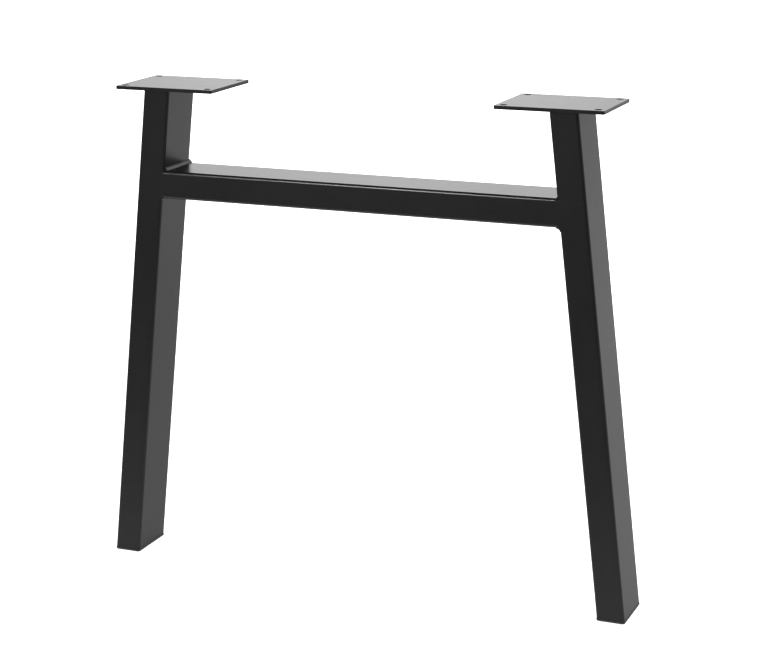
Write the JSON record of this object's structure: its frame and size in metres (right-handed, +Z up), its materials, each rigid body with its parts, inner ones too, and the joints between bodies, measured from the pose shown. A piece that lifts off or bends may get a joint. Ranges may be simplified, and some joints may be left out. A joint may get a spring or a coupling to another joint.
{
  "type": "trestle table leg",
  "caption": "Welded steel trestle leg for a table: splayed box-tube legs, a crossbar, drilled top plates and plastic foot caps.",
  "frame": {"origin": "on the floor, midway between the feet, under the centre line of the top plates", "axes": "+X from the left leg to the right leg, +Y from the front, where the legs and crossbar lie flush, to the back, +Z up"},
  "size_m": [0.8008, 0.12, 0.71],
  "materials": {
    "coated_steel": "satin black powder coat on steel",
    "cap_plastic": "matt black moulded polyethylene"
  },
  "bodies": {
    "root": {"left_leg_tube": "coated_steel", "right_leg_tube": "coated_steel", "crossbar_tube": "coated_steel", "left_top_plate": "coated_steel", "right_top_plate": "coated_steel", "left_bar_weld": "coated_steel", "right_bar_weld": "coated_steel", "left_plate_weld": "coated_steel", "right_plate_weld": "coated_steel", "left_foot_cap": "cap_plastic", "right_foot_cap": "cap_plastic"}
  },
  "joints": []
}
